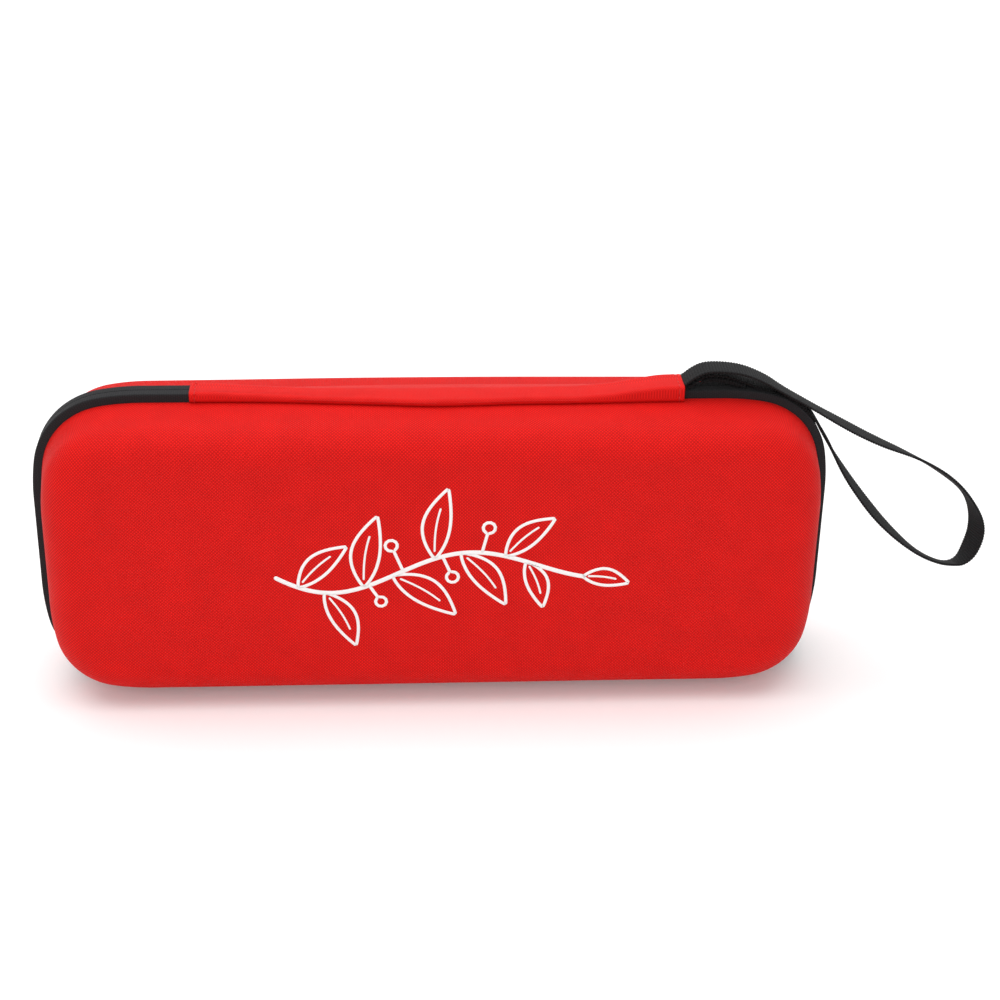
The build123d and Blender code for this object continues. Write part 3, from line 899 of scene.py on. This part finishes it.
first_x, last_x = SPINE_ENDS
finer = np.linspace(0.0, 4.0, 21)
spine_middle = np.linspace(first_x + 4.0, last_x - 4.0, 172)[1:-1]
spine_x = np.concatenate([first_x + finer, spine_middle, last_x - finer[::-1]])
SPINE_RADII = [0.1, 0.6, 1.3, 1.0, 1.4, 0.3, 0.1, 0.1, 0.2, 0.5, 0.5, 0.5, 0.3, 0.1]
CORNER_POINTS = 6
OUTSIDE_POINTS = 7 * CORNER_POINTS
spine_section = round_corners(spine_corners(spine_x), SPINE_RADII, count=CORNER_POINTS)
to_end = np.minimum(spine_x - SPINE_ENDS[0], SPINE_ENDS[1] - spine_x)
pinch = HEM_GROOVE * np.exp(-(((to_end - HEM) / 0.35) ** 2)) + 0.3 * np.exp(-((to_end / 0.3) ** 2))
hollow = spine_section.mean(axis=1, keepdims=True)
hollow[..., 0] = 0.0
hollow[..., 1] -= 2.0
towards = unit(hollow - spine_section)
outer_points = np.arange(spine_section.shape[1]) < OUTSIDE_POINTS
spine_section += pinch[:, None, None] * outer_points[None, :, None] * towards
spine_points = gridded(spine_x[:, None], spine_section[..., 0], spine_section[..., 1])
spine_girth = section_lengths(spine_section[len(spine_x) // 2])
spine_uv = gridded(spine_x[:, None], spine_girth[None])
spine = grid_piece(
    "spine_strip", spine_points, spine_uv, spine_cloth, wrap_columns=True, caps=True
)
dress(spine, "spine_cover")
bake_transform(spine)
print("spine faces", len(spine.data.polygons), "girth", round(float(spine_girth[-1]) / 2, 1), "mm")

# %% [markdown]
# ## Hinge
# Under the spine a strip of webbing joins the two shells, and inside the case a strip of
# lining covers the joint.

# %% Hinge strips
HINGE_END = 82.0
HINGE_HALF_WIDTH = 3.45
HINGE_HIGH = 115.8
HINGE_LOW = 112.65
HINGE_THICKNESS = 0.8
STRIP_END = 88.5
STRIP_INSET = 6.8
STRIP_HALF_WIDTH = 10.0
STRIP_THICKNESS = 0.6


def hinge_strip(name, x, y, underside, thickness, material, node_name, slot):
    """Strip across the hinge, from its underside's heights at each (x, y), with its thickness on
    top.
    """
    top = gridded(x[:, None], y[None], underside + thickness)
    bottom = gridded(x[:, None], y[None, ::-1], underside[:, ::-1])
    points = np.concatenate([top, bottom], axis=1)
    girth = lengths_along(np.concatenate([y, y[::-1], y[:1]])[:, None])
    uv = gridded(x[:, None], girth[None])
    strip = grid_piece(name, points, uv, material, wrap_columns=True, caps=True)
    dress(strip, node_name)
    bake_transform(strip)
    return strip


hinge_x = np.linspace(-HINGE_END, HINGE_END, 165)
hinge_y = np.linspace(-HINGE_HALF_WIDTH, HINGE_HALF_WIDTH, 29)
hinge_rise = np.interp(np.abs(hinge_x), [66.5, 74.5], [HINGE_LOW, HINGE_HIGH])
hinge_rise = hinge_rise[:, None] + 0 * hinge_y
hinge_form = (hinge_x, hinge_y, hinge_rise, HINGE_THICKNESS)
hinge_strip("hinge_webbing", *hinge_form, webbing_cloth, "hinge_tape", "webbing")
lining_x = np.linspace(-STRIP_END, STRIP_END, 119)
lining_y = np.linspace(-STRIP_HALF_WIDTH, STRIP_HALF_WIDTH, 61)
lining_rise = wall_top(np.abs(lining_y)) - STRIP_INSET + 0 * lining_x[:, None]
lining_form = (lining_x, lining_y, lining_rise, STRIP_THICKNESS)
strip_name = "hinge_lining_strip"
hinge_lining = hinge_strip(strip_name, *lining_form, lining_cloth, "hinge_lining", "lining")

# %% [markdown]
# ## Stitches
# A lockstitch shows as a row of short beads of thread, pulled a little into the cloth. One
# bead is a ring of four hexagons with its ends closed. All beads of a row are copies of it,
# placed by whole-array sums, so a row is one light mesh.

# %% Stitch rows
STITCH_LENGTH = 2.2
STITCH_GAP = 0.7
THREAD = 0.22
BEAD_RINGS = ((-1.0, 0.4), (-0.6, 1.0), (0.6, 1.0), (1.0, 0.4))


def stitch_row(name, centres, along, outward, material, length=STITCH_LENGTH):
    """Beads of thread: centre + length/2 a along + thread b (cos u outward + sin u across)."""
    share, girth = np.array(BEAD_RINGS).T
    ring = rings_of(outward, np.cross(along, outward), 6)
    places = (
        centres[:, None, None]
        + length / 2 * share[None, :, None, None] * along[:, None, None]
        + THREAD * girth[None, :, None, None] * ring[:, None]
    )
    bead = grid_quads(len(share), 6, wrap_columns=True)
    first = 6 * len(share) * np.arange(len(centres))[:, None]
    quads = (first[..., None] + bead[None]).reshape(-1, 4).tolist()
    near = (first + np.arange(5, -1, -1)).tolist()
    far = (first + 6 * (len(share) - 1) + np.arange(6)).tolist()
    return make_piece(name, places.reshape(-1, 3), quads + near + far, material)


red_thread = smooth_surface("polyester_thread_red", "#c8201d", 0.6, grain=0.01, scale=3000)
for end_name, row_x in (("left", SPINE_ENDS[0] + HEM), ("right", SPINE_ENDS[1] - HEM)):
    station = np.abs(spine_x - row_x).argmin()
    outline = spine_section[station, : OUTSIDE_POINTS - CORNER_POINTS]
    lengths = lengths_along(outline)
    spots = np.arange(1.6, lengths[-1] - 1.0, STITCH_LENGTH + STITCH_GAP)
    at = sampled(outline, lengths, spots)
    ahead = unit(sampled(outline, lengths, spots + 0.4) - at)
    centres = np.column_stack([np.full(len(at), row_x), at])
    along = np.column_stack([0 * spots, ahead])
    outward = np.column_stack([0 * spots, -ahead[:, 1], ahead[:, 0]])
    row = stitch_row(f"spine_{end_name}_stitches", centres, along, outward, red_thread)
    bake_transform(row)
print("stitches at each end", len(spots))

# %% [markdown]
# ## Print
# The front carries a white screen print: a leafy sprig with berries, drawn in lines. Ink of
# this kind lies on the cloth as a film about a tenth of a millimetre thick. A line is a flat
# strip along its own curve, narrowed to a round end, and laid on the swelling face.

# %% Print strokes
FILM = 0.12
FACE_HALF_X = 127.0
FACE_HALF_Z = 40.0
STEM_WIDTH = 1.7
LEAF_LINE = 1.2
VEIN_LINE = 0.8
SPRIG_MIDDLE = (-2.0, 59.0)


def face_depth(x, z):
    """Depth of the cover's broad face, with its swell and its ripple."""
    rise = FACE_SWELL * swell(x / FACE_HALF_X, (z - RIM_MIDDLE) / FACE_HALF_Z)
    return HALF_DEPTH + rise + COVER_RIPPLE * skin_ripple(x, z)


def stroke(line, width):
    """Corner grid (n, 4, 3) of a strip along a line of (x, z).

    At a distance s from an end, the half width is w / 2 sqrt(1 - (1 - 2 s / w)^2), as far as
    s = w / 2, so that the line ends round.
    """
    lengths = lengths_along(line)
    total = lengths[-1]
    end = np.linspace(0.02, 1.0, 6) ** 2 * width / 2
    inner = np.linspace(width / 2, total - width / 2, max(3, round(total / 1.2)))[1:-1]
    along = np.concatenate([end, inner, total - end[::-1]])
    place = sampled(line, lengths, along)
    heading = unit(np.gradient(place, along, axis=0))
    across = np.stack([-heading[:, 1], heading[:, 0]], -1)
    to_end = np.minimum(np.minimum(along, total - along) / (width / 2), 1.0)
    half = width / 2 * np.sqrt(1 - (1 - to_end) ** 2)
    rows = []
    for sense, lift in ((-1, -0.06), (-1, FILM), (1, FILM), (1, -0.06)):
        shrink = half - 0.05 * (lift > 0) * np.minimum(half / 0.1, 1)
        flat = place + sense * shrink[:, None] * across
        rows.append(np.stack([flat[:, 0], -face_depth(*flat.T) - lift, flat[:, 1]], -1))
    return np.stack(rows, 1)


def direction(degrees):
    """Unit vector in the face at an angle from +X."""
    angle = math.radians(degrees)
    return np.array([math.cos(angle), math.sin(angle)])


def leaf(base, degrees, length, breadth):
    """Two curved sides, half width b sin(pi t)^0.85 (1 - 0.3 t), and a vein up the middle."""
    t = np.linspace(0.0, 1.0, 40)[:, None]
    ahead, across = direction(degrees), direction(degrees + 90)
    half = breadth / 2 * np.sin(math.pi * t) ** 0.85 * (1 - 0.3 * t)

    def middle(share):
        return base + length * (share * ahead + 0.06 * np.sin(math.pi * share) * across)

    sides = [middle(t) + half * across, middle(t) - half * across]
    return [(line, LEAF_LINE) for line in sides] + [(middle(0.1 + 0.62 * t), VEIN_LINE)]


def berry(base, degrees, stalk, radius):
    """A short stalk with an open ring at its end."""
    turn = np.radians(np.linspace(180.0, 180.0 + 358.0, 40) + degrees)
    centre = base + (stalk + radius) * direction(degrees)
    ring = centre + radius * np.stack([np.cos(turn), np.sin(turn)], -1)
    line = base + np.linspace(0, 1, 8)[:, None] * stalk * direction(degrees)
    return [(ring, LEAF_LINE), (line, LEAF_LINE)]


stem_share = np.linspace(0.0, 1.0, 120)
stem_wave = (10.0 - 5.0 * stem_share) * np.sin(2.2 * math.pi * (stem_share - 0.42))
stem = np.stack([112.0 * (stem_share - 0.5), stem_wave], -1) + SPRIG_MIDDLE


def on_stem(share):
    """Point of the stem and its heading in degrees, at a share of its length."""
    index = min(int(share * (len(stem) - 1)), len(stem) - 2)
    ahead = stem[index + 1] - stem[index]
    return stem[index], math.degrees(math.atan2(ahead[1], ahead[0]))


strokes = [(stem, STEM_WIDTH)]
LEAVES = (
    (0.08, 64, 24.0, 10.0),
    (0.16, -60, 25.0, 10.5),
    (0.29, 60, 29.0, 12.0),
    (0.38, -62, 28.0, 12.0),
    (0.52, 62, 28.0, 11.5),
    (0.60, -58, 27.0, 11.0),
    (0.74, 56, 23.0, 10.0),
    (0.81, -52, 20.0, 9.0),
    (1.00, 0, 17.0, 8.0),
)
BERRIES = ((0.31, -80, 6.0, 2.0), (0.42, 86, 9.0, 2.2), (0.54, -82, 7.0, 2.2), (0.67, 82, 8.0, 2.2))
for share, angle, length, breadth in LEAVES:
    base, heading = on_stem(share)
    strokes += leaf(base, heading + angle, length, breadth)
for share, angle, stalk, radius in BERRIES:
    base, heading = on_stem(share)
    strokes += berry(base, heading + angle, stalk, radius)

print_points, print_faces, count = [], [], 0
for line, width in strokes:
    grid = stroke(line, width)
    rows = len(grid)
    quads = grid_quads(rows, 4, wrap_columns=True) + count
    print_faces += quads.tolist() + [[count + 3, count + 2, count + 1, count]]
    print_faces.append([count + 4 * (rows - 1) + corner for corner in range(4)])
    print_points.append(grid.reshape(-1, 3))
    count += 4 * rows
print_ink = smooth_surface("screen_print_ink_white", "#f6f4f3", 0.55, grain=0.03, scale=1800)
sprig = make_piece("front_print", np.concatenate(print_points), print_faces, print_ink)
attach(sprig, "front_half")
print("print strokes", len(strokes), "faces", len(print_faces))

# %% [markdown]
# ## Pocket and elastics
# The net of the pocket is warp-knitted: round holes a little over two millimetres wide, set
# like a honeycomb. Each cell is a ring of twelve quads between its hexagon and its hole, all
# cells are worked out at once, and Solidify gives the cloth its thickness. Elastic is knitted
# over rubber threads and has fine cross ribs, so it is the same ribbon as the strap.

# %% Net
NET_PITCH = 3.4
NET_HOLE = 1.15
NET_THICKNESS = 0.45
NET_DEPTH = 8.3
NET_ROW = 0.866 * NET_PITCH


def net_piece(name, node_name):
    """Honeycomb of holes: cell centres at ((i + j / 2) p, j p sqrt(3) / 2), cut to the pocket."""
    low, high = (np.array(corner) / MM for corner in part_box(node_name))
    columns = np.arange(-45, 46)
    rows = np.arange(0, round((high[2] - low[2]) / NET_ROW) + 2)
    i, j = (index.ravel() for index in np.meshgrid(columns, rows))
    centres = np.stack([(i + 0.5 * (j % 2)) * NET_PITCH, low[2] + j * NET_ROW], -1)
    spin = np.radians(30.0 * np.arange(12))
    ring = np.stack([np.cos(spin), np.sin(spin)], -1)
    corner_reach = NET_PITCH / math.sqrt(3)
    reach = np.where(np.arange(12) % 2 == 1, corner_reach, NET_PITCH / 2)
    cell = np.stack([ring * reach[:, None], ring * NET_HOLE])
    flat = centres[:, None, None] + cell[None]
    corner = CORNER_ARCS[1][0] - BINDING_INSET - BINDING_THICKNESS
    below = np.clip(low[2] + corner - flat[..., 1], 0.0, corner)
    half_x = high[0] - corner + np.sqrt(np.maximum(corner**2 - below**2, 0.0)) - 0.2
    inside = (np.abs(flat[..., 0]) < half_x) & (flat[..., 1] < high[2]) & (flat[..., 1] > low[2])
    keep = inside.reshape(len(centres), -1).mean(axis=1) > 0.3
    flat, half_x = flat[keep], half_x[keep]
    flat[..., 0] = np.clip(flat[..., 0], -half_x, half_x)
    flat[..., 1] = np.clip(flat[..., 1], low[2] + 0.2, high[2] - 0.2)
    sag = 0.6 * np.sin(flat[..., 0] / 19.0) * np.sin(flat[..., 1] / 23.0)
    points = np.stack([flat[..., 0], -NET_DEPTH - 0.1 - 0.3 * sag, flat[..., 1]], -1)
    first = 24 * np.arange(len(flat))[:, None, None]
    faces = (first + grid_quads(2, 12, wrap_columns=True)).reshape(-1, 4)
    places = points.reshape(-1, 3)
    uv = places[faces][..., ::2].reshape(-1, 2)
    piece = make_piece(name, places, faces.tolist(), net_thread, uv, closed=False)
    merge_doubles(piece.data, 0.02, slivers=0.02, face_out=False)
    thicken(piece, NET_THICKNESS, 0.0)
    return piece


net = net_piece("pocket_net", "mesh_pocket")
dress(net, "mesh_pocket", "front_half")
print("net faces", len(net.data.polygons))

# %% Elastics
for node_name, name, body, axis in (
    ("pocket_elastic", "pocket_edge_elastic", "front_half", 0),
    ("left_holding_band", "left_holding_elastic", "back_half", 2),
    ("right_holding_band", "right_holding_elastic", "back_half", 2),
):
    low, high = (np.array(corner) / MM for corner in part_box(node_name))
    line = np.stack([(low + high) / 2] * 40)
    line[:, axis] = np.linspace(low[axis], high[axis], 40)
    size = (high - low)[[2 - axis, 1]]
    elastic = ribbon(name, line, [90.0] * 40, size, elastic_cloth, 0.2, 0.05, pitch=1.6)
    dress(elastic, node_name, body)

# %% [markdown]
# ## Sliders and pulls
# The two sliders are small zinc castings with a black coat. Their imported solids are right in
# shape, so a copy of each mesh is cleaned and given soft edges by a Bevel. The grip on each
# pull is a soft moulding: a tube of rounded sections that is waisted in the middle and has
# three grooves for the fingers.

# %% Cast and moulded parts
CORNER_X = 114.6113
CORNER_Z = 30.5887
BAR_RADIUS = 32.94
GRIP_START = 4.5
GRIP_LENGTH = 20.0
SLIDER_ANGLES = {"lower": 33.0, "upper": 50.5}


def bevelled_copy(name, node_name, width, material):
    """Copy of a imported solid, merged, freed of flat triangles and bevelled at its sharp edges."""
    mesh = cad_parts[node_name].data.copy()
    mesh.name = name
    merge_doubles(mesh, 0.002, flat_angle=1.0)
    mesh.materials.clear()
    mesh.materials.append(material)
    mesh.shade_smooth()
    piece = in_scene(name, mesh)
    soften = piece.modifiers.new("soft_edges", "BEVEL")
    soften.width = width * MM
    soften.segments = 2
    soften.limit_method = "ANGLE"
    soften.angle_limit = math.radians(40)
    soften.harden_normals = True
    return piece


def grip_piece(name, angle):
    """Tube along Y of rounded sections, 3.5 - 0.7 sin(pi t) by 1.5 less the grooves, each way."""
    end = [0.0, 0.01, 0.03, 0.06]
    t = np.concatenate([end, np.linspace(0.1, 0.9, 49), [0.94, 0.97, 0.99, 1.0]])
    end = np.sqrt(1 - np.clip(1 - np.minimum(t, 1 - t) / 0.06, 0, 1) ** 2 * 0.75)
    wide = (3.5 - 0.7 * np.sin(math.pi * t)) * end
    groove = sum(np.exp(-(((t - middle) / 0.025) ** 2)) for middle in (0.42, 0.56, 0.70))
    thick = (1.5 - 0.3 * groove) * end
    spin = np.linspace(0, 2 * math.pi, 24, endpoint=False)
    across, through = (np.sign(c) * np.abs(c) ** 0.6 for c in (np.cos(spin), np.sin(spin)))
    lean = math.radians(angle)
    outward = np.array([math.sin(lean), 0.0, -math.cos(lean)])
    travel = np.array([math.cos(lean), 0.0, math.sin(lean)])
    hub = np.array([CORNER_X, 0.0, CORNER_Z]) + BAR_RADIUS * outward
    centre = hub + np.stack([0 * t, GRIP_START + GRIP_LENGTH * t, 0 * t], -1)
    points = centre[:, None] + (wide[:, None] * across)[..., None] * travel
    points += (thick[:, None] * through)[..., None] * outward
    uv = gridded(np.linspace(0, 18.0, 25)[None], GRIP_LENGTH * t[:, None])
    return grid_piece(name, points, uv, grip_rubber, wrap_columns=True, caps=True)


for which, angle in SLIDER_ANGLES.items():
    slider_name = f"{which}_slider"
    slider = bevelled_copy(f"{slider_name}_casting", slider_name, 0.18, coated_zinc)
    dress(slider, slider_name, slider_name)
    grip = grip_piece(f"{which}_grip_moulding", angle)
    dress(grip, f"{which}_pull_grip", f"{which}_pull")

# %% [markdown]
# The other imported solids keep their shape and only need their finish.

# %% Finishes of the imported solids
for node_name, material in {
    "front_shell": eva_foam,
    "back_shell": eva_foam,
    "left_end_stop": stop_plastic,
    "right_end_stop": stop_plastic,
    "lower_pull_bail": steel_wire,
    "upper_pull_bail": steel_wire,
}.items():
    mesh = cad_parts[node_name].data
    mesh.materials.clear()
    mesh.materials.append(material)

# %% [markdown]
# ## Floor and light
# The floor and the world behind it are white, and show at full strength to the camera alone.
# The light itself is soft and comes mostly from above: one large panel over the case, a wide
# weaker one in front of it, and an even glow all round.

# %% Floor, lamps and world
FLOOR_SIZE = 12.0
floor_material, tree = new_material("white_paper_floor")
view = node(tree, "LightPath")
spot = node(tree, "TexCoord").outputs["Object"]
reach = node(tree, "VectorMath", {0: spot}, operation="LENGTH").outputs["Value"]
fade = {"From Min": 0.35, "From Max": 1.2, "To Min": 0.12, "To Max": 0.8}
lift = node(tree, "MapRange", {"Value": reach, **fade}).outputs[0]
glow = node(tree, "Math", {0: view.outputs["Is Camera Ray"], 1: lift}, operation="MULTIPLY")
paper = node(
    tree,
    "BsdfPrincipled",
    {
        "Base Color": linear("#fbfbfb"),
        "Roughness": 0.9,
        "Specular IOR Level": 0.1,
        "Emission Color": linear("#ffffff"),
        "Emission Strength": glow.outputs[0],
    },
)
finish_material(tree, paper)
corners = np.array([(-1, -1, 0), (1, -1, 0), (1, 1, 0), (-1, 1, 0)]) * FLOOR_SIZE / 2
floor = make_piece("floor", corners / MM, [[0, 1, 2, 3]], floor_material, closed=False)


def panel(name, place, aim, size, power, colour):
    """Area lamp of a width and a depth, pointed from one place at another."""
    data = bpy.data.lights.new(name, "AREA")
    data.shape = "RECTANGLE"
    data.size, data.size_y = size
    data.energy = power
    data.color = linear(colour)[:3]
    lamp = in_scene(name, data)
    lamp.location = place
    lamp.rotation_mode = "QUATERNION"
    lamp.rotation_quaternion = (Vector(aim) - Vector(place)).to_track_quat("-Z", "Y")


CASE_MIDDLE = (0, 0, 0.05)
panel("overhead_panel", (-0.1, 0.1, 1.5), CASE_MIDDLE, (2.0, 2.0), 25.0, "#ffffff")
panel("front_panel", (-0.3, -1.6, 0.9), CASE_MIDDLE, (1.8, 1.2), 8.5, "#ffffff")

world = bpy.data.worlds.new("white_surround")
world.use_nodes = True
world.node_tree.nodes.clear()
tree = world.node_tree
path = node(tree, "LightPath")
seen = path.outputs["Is Camera Ray"]
for ray in ("Is Glossy Ray", "Is Transmission Ray"):
    seen = node(tree, "Math", {0: seen, 1: path.outputs[ray]}, operation="MAXIMUM").outputs[0]
strength = node(tree, "Mix", {0: seen, 2: 0.45, 3: 1.0}, data_type="FLOAT").outputs[0]
backdrop = node(tree, "Background", {"Color": linear("#ffffff"), "Strength": strength})
node(tree, "OutputWorld", {"Surface": backdrop.outputs[0]})
bpy.context.scene.world = world
bpy.context.scene.view_settings.view_transform = "Standard"
